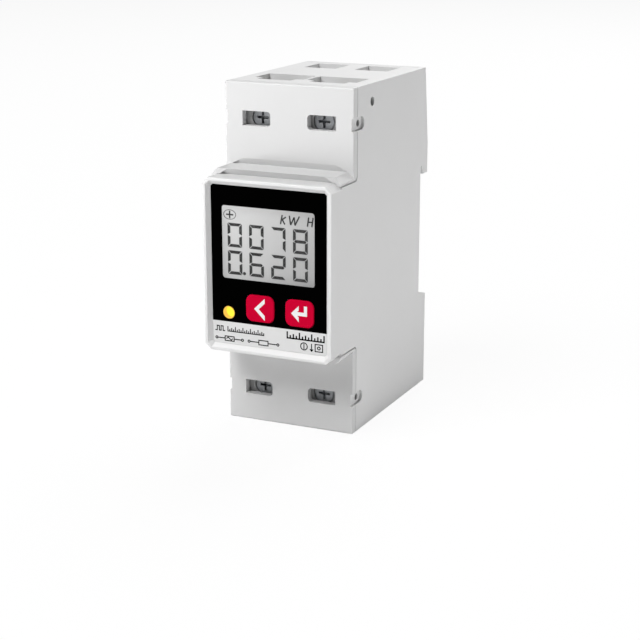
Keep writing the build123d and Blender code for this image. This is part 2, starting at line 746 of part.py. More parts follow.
# Fascia film with openings for the window, keys and lamp, and the plain rating label below it
film_half_x = half_width - rim_width - bevel_width - fit_gap / 2
film_half_z = bulge_height / 2 - rim_width - bevel_width - fit_gap / 2
film_cut = inset_cut(rim_width + bevel_width)
with BuildPart() as face_panel:
    with BuildSketch(front_plane(floor_y)):
        octagon(film_half_x, film_half_z, film_cut)
        with Locations((0, label_top_z - film_half_z)):
            Rectangle(width, 2 * film_half_z, mode=Mode.SUBTRACT)
        with Locations((window_x, window_z)):
            RectangleRounded(window_width, window_height, window_round, mode=Mode.SUBTRACT)
        with Locations((key_left_x, key_z), (key_right_x, key_z)):
            RectangleRounded(
                key_width + 2 * key_play, key_height + 2 * key_play, key_round + key_play, mode=Mode.SUBTRACT
            )
        with Locations((lamp_x, lamp_z)):
            Circle(lamp_radius + lamp_play, mode=Mode.SUBTRACT)
    extrude(amount=film_thickness)
finish_part(face_panel, "face_panel")

with BuildPart() as rating_label:
    with BuildSketch(front_plane(floor_y)):
        octagon(film_half_x, film_half_z, film_cut)
        with Locations((0, label_top_z + film_half_z)):
            Rectangle(width, 2 * film_half_z, mode=Mode.SUBTRACT)
    extrude(amount=film_thickness)
finish_part(rating_label, "rating_label")

# Clear display window, set into the bezel's floor behind the film
with BuildPart() as display_window:
    with BuildSketch(front_plane(floor_y + lens_thickness)):
        with Locations((window_x, window_z)):
            RectangleRounded(
                window_width + 2 * lens_margin - fit_gap, window_height + 2 * lens_margin - fit_gap,
                window_round + lens_margin - fit_gap / 2,
            )
    extrude(amount=lens_thickness)
finish_part(display_window, "display_window")

# Display stack behind the window: glass cell, backlight plate and the frame that clips both on the board
with BuildPart() as lcd_glass:
    with Locations((window_x, (glass_front_y + glass_back_y) / 2, window_z)):
        Box(glass_width, glass_thickness, glass_height)
finish_part(lcd_glass, "lcd_glass")

with BuildPart() as backlight_plate:
    with Locations((window_x, (glass_back_y + backlight_back_y) / 2, window_z)):
        Box(glass_width, backlight_thickness, glass_height)
finish_part(backlight_plate, "backlight_plate")

with BuildPart() as lcd_frame:
    with BuildSketch(front_plane(display_board_y)):
        with Locations((window_x, window_z)):
            Rectangle(glass_width + 2 * frame_wall, glass_height + 2 * frame_wall)
            Rectangle(glass_width + fit_gap, glass_height + fit_gap, mode=Mode.SUBTRACT)
    extrude(amount=display_board_y - glass_front_y)
    with BuildSketch(front_plane(display_board_y)):
        with Locations((window_x, window_z)):
            Rectangle(glass_width + 2 * frame_wall, glass_height + 2 * frame_wall)
    extrude(amount=display_board_y - backlight_back_y)
finish_part(lcd_frame, "lcd_frame")


def segment(start, end, inward, start_cut=1.0, end_cut=1.0):
    """Face of one digit segment along the edge of its cell, mitred towards the inside at both ends."""
    (x0, z0), (x1, z1) = start, end
    length = ((x1 - x0) ** 2 + (z1 - z0) ** 2) ** 0.5
    ux, uz = (x1 - x0) / length, (z1 - z0) / length
    nx, nz = inward[0] * segment_width, inward[1] * segment_width
    first = segment_gap / 2 + segment_width * start_cut
    last = segment_gap / 2 + segment_width * end_cut
    with BuildLine() as outline:
        Polyline(
            (x0 + ux * segment_gap / 2, z0 + uz * segment_gap / 2),
            (x1 - ux * segment_gap / 2, z1 - uz * segment_gap / 2),
            (x1 - ux * last + nx, z1 - uz * last + nz),
            (x0 + ux * first + nx, z0 + uz * first + nz), close=True,
        )
    make_face(outline.edges())


def middle_segment(left, right, z):
    """Face of the middle segment of a digit, pointed at both ends."""
    half = segment_width / 2
    tip = segment_gap / 2 + segment_width / 4
    with BuildLine() as outline:
        Polyline(
            (left + tip, z), (left + tip + half, z + half), (right - tip - half, z + half), (right - tip, z),
            (right - tip - half, z - half), (left + tip + half, z - half), close=True,
        )
    make_face(outline.edges())


def stroke(start, end):
    """Face of one straight stroke of a sign."""
    (x0, z0), (x1, z1) = start, end
    length = ((x1 - x0) ** 2 + (z1 - z0) ** 2) ** 0.5
    nx, nz = -(z1 - z0) / length * sign_stroke / 2, (x1 - x0) / length * sign_stroke / 2
    with BuildLine() as outline:
        Polyline((x0 + nx, z0 + nz), (x1 + nx, z1 + nz), (x1 - nx, z1 - nz), (x0 - nx, z0 - nz), close=True)
    make_face(outline.edges())


# Lit segments of the display: two rows of four digits, a decimal point, a plus in a ring and the unit
lit = {"0": "abcdef", "7": "abc", "8": "abcdefg", "6": "acdefg", "2": "abged"}
rows = [("0078", row_low_z + row_pitch), ("0620", row_low_z)]
with BuildPart() as lcd_segments:
    with BuildSketch(front_plane(glass_front_y)):
        for text, low in rows:
            for place, digit in enumerate(text):
                left = digit_left_x + place * digit_pitch
                right = left + digit_width
                middle = low + digit_height / 2
                top = low + digit_height
                ends = {
                    "a": ((left, top), (right, top), (0, -1)),
                    "b": ((right, top), (right, middle), (-1, 0), 1.0, 0.5),
                    "c": ((right, low), (right, middle), (-1, 0), 1.0, 0.5),
                    "d": ((left, low), (right, low), (0, 1)),
                    "e": ((left, low), (left, middle), (1, 0), 1.0, 0.5),
                    "f": ((left, top), (left, middle), (1, 0), 1.0, 0.5),
                }
                for name in lit[digit].replace("g", ""):
                    segment(*ends[name])
                if "g" in lit[digit]:
                    middle_segment(left, right, middle)
        with Locations((digit_left_x + digit_width + 0.6, row_low_z + 0.5)):
            Circle(0.42)
        with Locations((-11.73, sign_low_z + sign_height / 2)):
            Ellipse(1.78, 1.28)
            Ellipse(1.78 - ring_stroke, 1.28 - ring_stroke, mode=Mode.SUBTRACT)
            Rectangle(plus_size, sign_stroke)
            Rectangle(sign_stroke, plus_size)
        low = sign_low_z
        high = sign_low_z + sign_height
        mid = low + 0.4 * sign_height
        stroke((2.55, low), (3.05, high))
        stroke((2.72, mid), (4.05, high - 0.45))
        stroke((3.05, mid + 0.2), (3.75, low))
        stroke((5.0, high), (5.35, low))
        stroke((5.35, low), (6.35, high - 0.3))
        stroke((6.35, high - 0.3), (6.55, low))
        stroke((6.55, low), (7.75, high))
        stroke((9.95, low), (10.3, high))
        stroke((11.15, low), (11.5, high))
        stroke((10.12, (low + high) / 2), (11.32, (low + high) / 2))
    extrude(amount=segment_thickness)
finish_part(lcd_segments, "lcd_segments")

# Keys: red caps with a flange behind the bezel's floor, and a white arrow let into each cap.
# The left one shows an arrow head, the right one a return arrow.
back_arrow = [(-1.6, -0.1), (1.38, 2.8), (1.38, 1.55), (-0.33, -0.1), (1.38, -1.7), (1.38, -3.0)]
return_arrow = [
    (-2.28, -0.06), (-0.17, 2.03), (-0.17, 0.85), (-0.6, 0.42), (1.28, 0.42), (1.28, 2.08), (2.13, 2.08),
    (2.13, -0.53), (-0.6, -0.53), (-0.17, -0.96), (-0.17, -2.15),
]
key_front_y = face_y - key_proud
key_flange_front_y = floor_back_y + key_flange_play
key_flange_back_y = key_flange_front_y + key_flange_thickness
switch_front_y = display_board_y - switch_height
plunger_front_y = switch_front_y - plunger_height
for name, x, arrow in (("key_left", key_left_x, back_arrow), ("key_right", key_right_x, return_arrow)):
    outline = [(x + px, key_z + pz) for px, pz in arrow]
    with BuildPart() as key:
        with BuildSketch(front_plane(key_flange_front_y)):
            with Locations((x, key_z)):
                RectangleRounded(key_width, key_height, key_round)
        extrude(amount=key_flange_front_y - key_front_y)
        fillet(faces().sort_by(Axis.Y)[0].edges(), edge_round)
        with BuildSketch(front_plane(key_flange_back_y)):
            with Locations((x, key_z)):
                RectangleRounded(key_width + 2 * key_flange, key_height + 2 * key_flange, key_round + key_flange)
        extrude(amount=key_flange_thickness)
        with BuildSketch(front_plane(plunger_front_y)):
            with Locations((x, key_z)):
                Circle(plunger_radius)
        extrude(amount=plunger_front_y - key_flange_back_y)
        with BuildSketch(front_plane(key_front_y + mark_depth)):
            with BuildLine():
                Polyline(*outline, close=True)
            make_face()
        extrude(amount=mark_depth, mode=Mode.SUBTRACT)
    finish_part(key, name)

    with BuildPart() as mark:
        with BuildSketch(front_plane(key_front_y + mark_depth)):
            with BuildLine():
                Polyline(*outline, close=True)
            make_face()
        extrude(amount=mark_depth + mark_proud)
    finish_part(mark, f"{name}_arrow")

    with BuildPart() as plunger:
        with BuildSketch(front_plane(switch_front_y + plunger_sink)):
            with Locations((x, key_z)):
                Circle(plunger_radius)
        extrude(amount=plunger_sink + plunger_height)
    finish_part(plunger, f"{name}_plunger")

# Tactile switches under the keys, each with a bore for its plunger
with BuildPart() as key_switches:
    bore_depth = plunger_sink + key_travel + fit_gap
    with Locations((key_left_x, display_board_y - switch_height / 2, key_z),
                   (key_right_x, display_board_y - switch_height / 2, key_z)):
        Box(switch_size, switch_height, switch_size)
    with BuildSketch(front_plane(switch_front_y + bore_depth)):
        with Locations((key_left_x, key_z), (key_right_x, key_z)):
            Circle(plunger_radius + thread_gap)
    extrude(amount=bore_depth, mode=Mode.SUBTRACT)
finish_part(key_switches, "key_switches")

# Pulse lamp: a light pipe that stands on the display board, with a thin collar round its sunk front
with BuildPart() as pulse_lamp:
    lamp_front_y = face_y + lamp_sink
    with BuildSketch(front_plane(display_board_y)):
        with Locations((lamp_x, lamp_z)):
            Circle(lamp_radius)
    extrude(amount=display_board_y - lamp_front_y)
    with BuildSketch(front_plane(lamp_front_y + lamp_depth)):
        with Locations((lamp_x, lamp_z)):
            Circle(lamp_radius - lamp_wall)
    extrude(amount=lamp_depth, mode=Mode.SUBTRACT)
    with BuildSketch(front_plane(display_board_y)):
        with Locations((lamp_x, lamp_z)):
            Circle(lamp_radius + lamp_flange)
    extrude(amount=lamp_flange)
finish_part(pulse_lamp, "pulse_lamp")

# Display board, with the microcontroller and the header to the main board on its rear side
with BuildPart() as display_board:
    with Locations((0, display_board_y + board_thickness / 2, 0)):
        Box(display_board_width, board_thickness, display_board_height)
finish_part(display_board, "display_board")

chip_size = 10.0
chip_thickness = 1.6
with BuildPart() as microcontroller:
    with Locations((-chip_size / 2, display_board_back_y + chip_thickness / 2, chip_size * 0.4)):
        Box(chip_size, chip_thickness, chip_size)
    chamfer(faces().sort_by(Axis.Y)[-1].edges(), edge_round * 0.8)
finish_part(microcontroller, "microcontroller")

header_depth = 2.5
header_length = 25.4
with BuildPart() as board_header:
    with Locations((main_board_x - header_depth / 2, display_board_back_y + header_depth / 2, 0)):
        Box(header_depth, header_depth, header_length)
finish_part(board_header, "board_header")

# Main board, on edge along the right side, and the parts that stand on its inner face.
# Its front end is narrower, to reach between the walls of the display bulge.
with BuildPart() as main_board:
    main_board_front_y = display_board_back_y + 0.3
    main_board_step_y = case_front_y + 0.4
    with BuildSketch(Plane.YZ.offset(main_board_x)):
        with Locations(((main_board_front_y + main_board_rear_y) / 2, 0)):
            Rectangle(main_board_rear_y - main_board_front_y, display_board_height)
        with Locations(((main_board_step_y + main_board_rear_y) / 2, 0)):
            Rectangle(main_board_rear_y - main_board_step_y, main_board_height)
    extrude(amount=board_thickness)
finish_part(main_board, "main_board")

box_height = 17.5
box_depth = 13.0
box_reach = 10.0
box_front_y = bar_centre_y + 4.3
with BuildPart() as mains_capacitor:
    with Locations((main_board_x - box_reach / 2, box_front_y + box_depth / 2, box_height * 0.69)):
        Box(box_reach, box_depth, box_height)
    fillet(edges().filter_by(Axis.X), edge_round * 2)
finish_part(mains_capacitor, "mains_capacitor")

can_radius = 4.0
can_length = 12.0
can_y = box_front_y + box_depth / 2
with BuildPart() as smoothing_capacitors:
    with BuildSketch(Plane.YZ.offset(main_board_x)):
        with Locations((can_y, -can_radius), (can_y, -can_radius * 3.5)):
            Circle(can_radius)
    extrude(amount=-can_length)
    fillet(faces().filter_by(Axis.X).sort_by(Axis.X)[:2].edges(), edge_round * 1.6)
finish_part(smoothing_capacitors, "smoothing_capacitors")

disc_radius = 5.0
disc_thickness = 4.2
disc_y = cage_front_y + disc_thickness - 0.6
disc_z = disc_radius * 3.4
with BuildPart() as varistor:
    with BuildSketch(front_plane(disc_y)):
        with Locations((main_board_x - disc_radius * 1.1, disc_z)):
            Circle(disc_radius)
        with Locations((main_board_x - disc_radius * 0.3, disc_z)):
            Rectangle(disc_radius * 0.6, disc_radius * 1.2)
    extrude(amount=disc_thickness)
finish_part(varistor, "varistor")

tube_radius = 2.3
tube_length = 11.0
tube_y = case_front_y + tube_radius - 1.5
with BuildPart() as inrush_resistor:
    with BuildSketch(Plane.XY.offset(-tube_length / 2)):
        with Locations((main_board_x - tube_radius, tube_y)):
            Circle(tube_radius)
    extrude(amount=tube_length)
    fillet(faces().filter_by(Axis.Z).edges(), edge_round * 1.6)
finish_part(inrush_resistor, "inrush_resistor")

opto_reach = 3.5
opto_depth = 6.4
opto_height = 4.6
with BuildPart() as optocoupler:
    with Locations((main_board_x - opto_reach / 2, case_front_y + 0.3, tube_length * 1.36)):
        Box(opto_reach, opto_depth, opto_height)
    chamfer(faces().sort_by(Axis.X)[0].edges(), edge_round)
finish_part(optocoupler, "optocoupler")

meter_chip_reach = 2.3
meter_chip_depth = 7.5
meter_chip_height = 10.3
meter_chip_y = tube_y + tube_radius + meter_chip_depth / 2 - 1.1
meter_chip_z = -(tube_length + meter_chip_height) / 2 - 0.6
with BuildPart() as metering_chip:
    with Locations((main_board_x - meter_chip_reach / 2, meter_chip_y, meter_chip_z)):
        Box(meter_chip_reach, meter_chip_depth, meter_chip_height)
    chamfer(faces().sort_by(Axis.X)[0].edges(), edge_round * 0.8)
finish_part(metering_chip, "metering_chip")

crystal_length = 11.0
crystal_width = 4.6
crystal_reach = 3.5
crystal_z = meter_chip_z - (meter_chip_height + crystal_width) / 2 - 0.4
with BuildPart() as crystal:
    with BuildSketch(Plane.YZ.offset(main_board_x)):
        with Locations((meter_chip_y + 1.0, crystal_z)):
            SlotOverall(crystal_length, crystal_width)
    extrude(amount=-crystal_reach)
    fillet(faces().sort_by(Axis.X)[0].edges(), edge_round)
finish_part(crystal, "crystal")

# Rail clip: a slide with a nose that holds the rail's lower edge, wings that guide it and a pull slot
with BuildPart() as rail_clip:
    clip_foot_z = -half_height + clip_foot_gap
    clip_rear_y = clip_seat_y + clip_play / 2 + clip_thickness
    clip_front_y = clip_seat_y + clip_play / 2
    clip_top_z = lower_step_z
    with BuildSketch(Plane.YZ):
        with BuildLine():
            Polyline(
                (clip_front_y, clip_foot_z), (clip_rear_y, clip_foot_z), (clip_rear_y, clip_top_z),
                (clip_nose_y, clip_top_z + clip_nose_height), (clip_nose_y, clip_top_z),
                (clip_front_y, clip_top_z), close=True,
            )
        make_face()
    extrude(amount=clip_width / 2, both=True)
    wing_height = clip_wing_top_z - clip_foot_z
    with Locations((0, clip_front_y + clip_wing_thickness / 2, clip_foot_z + wing_height / 2)):
        Box(clip_width + 2 * clip_wing, clip_wing_thickness, wing_height)
    tab_y = spring_centre_y - spring_room + clip_play
    with Locations((0, (tab_y + clip_front_y) / 2, spring_top_z + spring_tab_height / 2)):
        Box(2 * (spring_room - clip_play), clip_front_y - tab_y, spring_tab_height)
    with Locations((0, clip_front_y + clip_thickness / 2, clip_foot_z + 3.2)):
        Box(5.0, clip_thickness, 1.8, mode=Mode.SUBTRACT)
finish_part(rail_clip, "rail_clip")

# Coil spring between the clip's tab and the foot of the spring housing, with a flat turn at each end
with BuildPart() as rail_clip_spring:
    coil_low_z = spring_foot_z + spring_wire
    coil_high_z = spring_top_z - spring_wire
    coil_pitch = (coil_high_z - coil_low_z) / spring_turns
    with BuildLine():
        Helix(
            pitch=coil_pitch, height=coil_high_z - coil_low_z, radius=spring_radius,
            center=(0, spring_centre_y, coil_low_z),
        )
    with BuildSketch(Plane(origin=(spring_radius, spring_centre_y, coil_low_z), z_dir=(0, 1, 0))):
        Circle(spring_wire)
    sweep(is_frenet=True)
finish_part(rail_clip_spring, "rail_clip_spring")
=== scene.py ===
import math

import bpy
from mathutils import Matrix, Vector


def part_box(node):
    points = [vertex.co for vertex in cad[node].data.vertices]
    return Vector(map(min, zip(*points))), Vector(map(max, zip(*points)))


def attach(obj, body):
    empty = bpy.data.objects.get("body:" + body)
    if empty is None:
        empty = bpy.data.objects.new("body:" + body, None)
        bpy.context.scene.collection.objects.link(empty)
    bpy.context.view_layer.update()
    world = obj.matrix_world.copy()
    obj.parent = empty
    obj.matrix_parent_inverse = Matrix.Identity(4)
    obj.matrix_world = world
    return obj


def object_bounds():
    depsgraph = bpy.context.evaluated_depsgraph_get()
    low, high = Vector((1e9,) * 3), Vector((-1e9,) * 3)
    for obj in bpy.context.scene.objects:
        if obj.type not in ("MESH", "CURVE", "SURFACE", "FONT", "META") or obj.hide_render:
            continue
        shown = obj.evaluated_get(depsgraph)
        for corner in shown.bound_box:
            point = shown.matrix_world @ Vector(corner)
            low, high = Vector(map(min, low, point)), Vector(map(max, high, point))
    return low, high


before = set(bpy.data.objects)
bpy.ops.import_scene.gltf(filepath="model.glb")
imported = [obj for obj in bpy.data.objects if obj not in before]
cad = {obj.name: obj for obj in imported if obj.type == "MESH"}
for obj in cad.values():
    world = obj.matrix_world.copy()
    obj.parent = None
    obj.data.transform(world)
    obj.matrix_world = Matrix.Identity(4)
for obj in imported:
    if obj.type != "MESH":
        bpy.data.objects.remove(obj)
cad_low, cad_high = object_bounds()
bpy.ops.object.select_all(action="DESELECT")

# Case of the meter: front housing, rear base and terminal covers.
# Real ones are injection moulded in light grey glass-filled polycarbonate, in tools with a fine
# spark-eroded surface, and the three mouldings snap or screw together round the works.


def linear(code):
    """sRGB hex colour as linear red, green, blue and alpha."""
    parts = [int(code[i:i + 2], 16) / 255 for i in (1, 3, 5)]
    return [c / 12.92 if c <= 0.04045 else ((c + 0.055) / 1.055) ** 2.4 for c in parts] + [1.0]


def add_node(tree, kind, settings=None, inputs=None):
    """One node with its settings; an input is a value, or another node's output to link."""
    node = tree.nodes.new(kind)
    for key, value in (settings or {}).items():
        setattr(node, key, value)
    for key, value in (inputs or {}).items():
        if isinstance(value, bpy.types.NodeSocket):
            tree.links.new(value, node.inputs[key])
        else:
            node.inputs[key].default_value = value
    return node


def new_material(name):
    """Empty node material with its output."""
    material = bpy.data.materials.new(name)
    material.use_nodes = True
    tree = material.node_tree
    tree.nodes.clear()
    return material, tree, add_node(tree, "ShaderNodeOutputMaterial")


def dress(material, *names):
    """Puts a material on CAD nodes, in place of the one they came with."""
    for name in names:
        mesh = cad[name].data
        mesh.materials.clear()
        mesh.materials.append(material)


def moulded(name, light, dark, roughness, grain_mm, grain_depth_mm, specular=0.5, cloud_mm=14.0):
    """Moulded plastic: faint cloudiness from the flow of the melt, and an even fine grain from the tool."""
    material, tree, output = new_material(name)
    place = add_node(tree, "ShaderNodeTexCoord").outputs["Object"]
    cloud = add_node(tree, "ShaderNodeTexNoise", None, {
        "Vector": place, "Scale": 1000 / cloud_mm, "Detail": 3.0, "Roughness": 0.55})
    tone = add_node(tree, "ShaderNodeMix", {"data_type": "RGBA"}, {
        "Factor": cloud.outputs["Fac"], 6: linear(dark), 7: linear(light)})
    grain = add_node(tree, "ShaderNodeTexNoise", None, {
        "Vector": place, "Scale": 1000 / grain_mm, "Detail": 2.0, "Roughness": 0.6})
    gloss = add_node(tree, "ShaderNodeMapRange", None, {
        "Value": grain.outputs["Fac"], 3: roughness - 0.05, 4: roughness + 0.05})
    relief = add_node(tree, "ShaderNodeBump", None, {
        "Height": grain.outputs["Fac"], "Strength": 0.6, "Distance": grain_depth_mm / 1000})
    surface = add_node(tree, "ShaderNodeBsdfPrincipled", None, {
        "Base Color": tone.outputs[2], "Roughness": gloss.outputs["Result"],
        "Normal": relief.outputs["Normal"], "Specular IOR Level": specular, "IOR": 1.58})
    tree.links.new(surface.outputs["BSDF"], output.inputs["Surface"])
    return material


# Glass-filled polycarbonate, spark-eroded tool: light grey, soft sheen, grain drawn 0.25 mm wide so it shows.
housing_plastic = moulded("polycarbonate_case_grey", "#E4E4E4", "#E0E0E0", 0.42, 0.25, 0.004)
# The covers come from another tool in the same plastic, a shade darker.
cover_plastic = moulded("polycarbonate_cover_grey", "#DADADA", "#D7D7D7", 0.4, 0.25, 0.003)
# The base is the same plastic from a coarser tool.
base_plastic = moulded("polycarbonate_base_grey", "#DADADA", "#D4D4D4", 0.5, 0.4, 0.008)
dress(housing_plastic, "front_housing")
dress(cover_plastic, "upper_terminal_cover", "lower_terminal_cover")
dress(base_plastic, "rear_base")

# Terminal carriers: grey insulating blocks behind the covers.
# Glass-filled polyamide, moulded, with a dull and slightly rough skin.
carrier_plastic = moulded("polyamide_grey", "#B0B0B0", "#A6A6A6", 0.6, 0.5, 0.012, 0.3)
dress(carrier_plastic, "upper_terminal_carrier", "lower_terminal_carrier")

# Rail clip: a black slide that is pulled down with a screwdriver to free the meter from its rail.
# Moulded in acetal, smooth from its tool, and held between the housing and the base.
clip_plastic = moulded("acetal_black", "#232325", "#1B1B1D", 0.36, 0.6, 0.006)
dress(clip_plastic, "rail_clip")


# Metal parts of the terminals and the mains path.
# Cages are nickel-plated brass, bars are half-hard copper, the link of the shunt is a copper manganese alloy,
# and the screws are zinc-plated steel.
streak_stretch = 0.06
streak_depth_mm = 0.006


def metal(name, light, dark, roughness, scratch_mm, along, metallic=1.0):
    """Worked metal: two close tones in streaks along one axis, with the roughness following the streaks."""
    material, tree, output = new_material(name)
    place = add_node(tree, "ShaderNodeTexCoord").outputs["Object"]
    stretch = [1.0, 1.0, 1.0]
    stretch[along] = streak_stretch
    drawn = add_node(tree, "ShaderNodeMapping", None, {"Vector": place, "Scale": stretch})
    streak = add_node(tree, "ShaderNodeTexNoise", None, {
        "Vector": drawn.outputs["Vector"], "Scale": 1000 / scratch_mm, "Detail": 4.0, "Roughness": 0.65})
    tone = add_node(tree, "ShaderNodeMix", {"data_type": "RGBA"}, {
        "Factor": streak.outputs["Fac"], 6: linear(dark), 7: linear(light)})
    gloss = add_node(tree, "ShaderNodeMapRange", None, {
        "Value": streak.outputs["Fac"], 3: roughness - 0.08, 4: roughness + 0.1})
    relief = add_node(tree, "ShaderNodeBump", None, {
        "Height": streak.outputs["Fac"], "Strength": 0.4, "Distance": streak_depth_mm / 1000})
    surface = add_node(tree, "ShaderNodeBsdfPrincipled", None, {
        "Base Color": tone.outputs[2], "Metallic": metallic, "Roughness": gloss.outputs["Result"],
        "Normal": relief.outputs["Normal"]})
    tree.links.new(surface.outputs["BSDF"], output.inputs["Surface"])
    return material


# Nickel on sawn and drilled brass: warm grey, satin.
nickel_plate = metal("nickel_plated_brass", "#C9C4B4", "#B5AF9E", 0.32, 0.5, 2)
# Rolled copper strip, slightly dulled by handling.
copper_strip = metal("rolled_copper", "#D08A66", "#B8734F", 0.34, 0.6, 2)
# Resistance alloy strip: browner and duller than the copper.
alloy_strip = metal("manganin_strip", "#A98468", "#8F6D54", 0.4, 0.6, 2)
# Zinc on steel, passivated to a chalky grey that scatters part of the light.
zinc_steel = metal("zinc_plated_steel", "#A6A8AA", "#989A9E", 0.45, 0.4, 0, 0.55)
# Patented spring wire, cold drawn.
spring_wire = metal("drawn_spring_steel", "#8E9094", "#73757A", 0.28, 0.3, 2)
dress(nickel_plate, "terminal_cage_1", "terminal_cage_2", "terminal_cage_3", "terminal_cage_4")
dress(copper_strip, "phase_busbar_in", "phase_busbar_out", "neutral_busbar")
dress(alloy_strip, "shunt")
dress(zinc_steel, "terminal_screw_1", "terminal_screw_2", "terminal_screw_3", "terminal_screw_4",
      "base_screws")
dress(spring_wire, "rail_clip_spring")

# Fascia film and rating label: screen-printed polyester films stuck into the recess of the bezel.
# The fascia is printed solid black behind, the label light grey; both have a fine velvet texture.
fascia_film = moulded("polyester_film_black", "#010101", "#000000", 0.7, 0.3, 0.001, 0.004)
label_film = moulded("polyester_film_grey", "#DDDDDD", "#DBDBDB", 0.5, 0.3, 0.002, 0.2)
dress(fascia_film, "face_panel")
dress(label_film, "rating_label")

# Label print: plain signs in black ink, screen-printed on the rating label about 0.02 mm thick.
# A pulse and a scale, the way the mains passes through between its terminals, a second scale, and marks
# for the first terminal and for the way up. Sizes are millimetres, and places are millimetres from the
# label's lower left corner.
ink_width = 0.26
ink_depth = 0.02
ring_sides = 32
sign_ink = moulded("screen_ink_black", "#101010", "#0B0B0B", 0.5, 0.3, 0.001, 0.03)


def ink_stroke(start, end, width=ink_width):
    """One straight printed stroke, drawn flat as on paper."""
    across, up = end[0] - start[0], end[1] - start[1]
    bpy.ops.mesh.primitive_plane_add(
        size=0.001, location=((start[0] + end[0]) / 2000, (start[1] + end[1]) / 2000, 0),
        rotation=(0, 0, math.atan2(up, across)))
    stroke = bpy.context.object
    stroke.scale = (math.hypot(across, up) + width, width, 1)
    return stroke


def ink_path(*points):
    """Printed strokes along a row of points."""
    return [ink_stroke(start, end) for start, end in zip(points, points[1:])]


def ink_ring(centre, radius):
    """One printed ring."""
    bpy.ops.mesh.primitive_circle_add(
        vertices=ring_sides, radius=radius / 1000, fill_type="NGON",
        location=(centre[0] / 1000, centre[1] / 1000, 0))
    bpy.ops.object.mode_set(mode="EDIT")
    bpy.ops.mesh.select_all(action="SELECT")
    bpy.ops.mesh.inset(thickness=ink_width / 1000)
    bpy.ops.mesh.delete(type="FACE")
    bpy.ops.object.mode_set(mode="OBJECT")
    return bpy.context.object


def ink_scale(left, foot, height, pitch, ticks, width=ink_width):
    """A scale on a base line, with every fourth tick long and those between in two heights."""
    strokes = [ink_stroke((left, foot), (left + pitch * (ticks - 1), foot), width)]
    for tick in range(ticks):
        reach = height if tick % 4 == 0 else height * (0.65 if tick % 2 == 0 else 0.4)
        strokes.append(ink_stroke((left + tick * pitch, foot), (left + tick * pitch, foot + reach), width))
    return strokes


# Pulse, with two beats
signs = ink_path((0.75, 3.3), (1.2, 3.3), (1.2, 4.5), (1.8, 4.5), (1.8, 3.3),
                 (2.3, 3.3), (2.3, 4.5), (2.9, 4.5), (2.9, 3.3), (3.35, 3.3))
# Fine scale beside it, and a bold one on the right
signs += ink_scale(4.3, 3.35, 1.15, 0.54, 20)
signs += ink_scale(21.2, 3.6, 1.5, 0.85, 13, 0.38)
# Two lines between terminals, each through a box
line_height = 1.35
terminal_radius = 0.42
box_half_width = 1.3
box_low, box_high = 0.75, 1.95
for left, right in ((1.05, 8.45), (10.35, 18.55)):
    box_left = (left + right) / 2 - box_half_width
    box_right = (left + right) / 2 + box_half_width
    signs += [ink_ring((left, line_height), terminal_radius), ink_ring((right, line_height), terminal_radius)]
    signs += ink_path((left + terminal_radius, line_height), (box_left, line_height))
    signs += ink_path((box_right, line_height), (right - terminal_radius, line_height))
    signs += ink_path((box_left, box_low), (box_left, box_high), (box_right, box_high), (box_right, box_low),
                      (box_left, box_low))
# Wave in the first box
signs += ink_path((3.9, line_height), (4.3, 1.7), (5.2, 1.0), (5.6, line_height))
# First terminal, way up, and a square with a ring
signs += [ink_ring((25.85, 1.9), 1.05), ink_stroke((25.85, 1.3), (25.85, 2.5))]
signs += ink_path((27.6, 1.3), (27.95, 0.9), (28.3, 1.3)) + [ink_stroke((27.95, 2.7), (27.95, 0.9))]
signs += ink_path((28.95, 0.95), (31.0, 0.95), (31.0, 2.8), (28.95, 2.8), (28.95, 0.95))
signs += [ink_ring((29.97, 1.87), 0.5)]
# All signs become one piece, are stood up on the label's face and get the thickness of the ink
bpy.ops.object.select_all(action="DESELECT")
for sign in signs:
    sign.select_set(True)
label_print = signs[0]
bpy.context.view_layer.objects.active = label_print
bpy.ops.object.transform_apply(location=True, rotation=True, scale=True)
bpy.ops.object.join()
label_print.name = "label_print"
label_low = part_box("rating_label")[0]
label_print.rotation_euler = (math.pi / 2, 0, 0)
label_print.location = (label_low.x, label_low.y, label_low.z)
bpy.ops.object.transform_apply(location=True, rotation=True, scale=True)
body = label_print.modifiers.new("ink_film", "SOLIDIFY")
body.thickness = ink_depth / 1000
body.offset = 1.0
bpy.ops.object.modifier_apply(modifier=body.name)
label_print.data.materials.append(sign_ink)
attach(label_print, "case")
bpy.ops.object.select_all(action="DESELECT")

# Display window: clear cast acrylic, polished, so it shows only what it reflects and what lies behind.
# Only its outer faces reflect: light that leaves from inside passes straight through.
ripple_mm = 9.0
window_acrylic, tree, output = new_material("clear_acrylic")
place = add_node(tree, "ShaderNodeTexCoord").outputs["Object"]
ripple = add_node(tree, "ShaderNodeTexNoise", None, {
    "Vector": place, "Scale": 1000 / ripple_mm, "Detail": 1.0})
relief = add_node(tree, "ShaderNodeBump", None, {
    "Height": ripple.outputs["Fac"], "Strength": 0.15, "Distance": 0.00002})
edge_on = add_node(tree, "ShaderNodeFresnel", None, {"IOR": 1.49, "Normal": relief.outputs["Normal"]})
facing = add_node(tree, "ShaderNodeNewGeometry")
outside = add_node(tree, "ShaderNodeMath", {"operation": "SUBTRACT"}, {
    0: 1.0, 1: facing.outputs["Backfacing"]})
shine = add_node(tree, "ShaderNodeMath", {"operation": "MULTIPLY"}, {
    0: edge_on.outputs["Fac"], 1: outside.outputs["Value"]})
clear = add_node(tree, "ShaderNodeBsdfTransparent", None, {"Color": linear("#FEFEFE")})
polish = add_node(tree, "ShaderNodeBsdfGlossy", None, {
    "Color": linear("#FFFFFF"), "Roughness": 0.04, "Normal": relief.outputs["Normal"]})
both = add_node(tree, "ShaderNodeMixShader", None, {
    0: shine.outputs["Value"], 1: clear.outputs["BSDF"], 2: polish.outputs["BSDF"]})
tree.links.new(both.outputs["Shader"], output.inputs["Surface"])
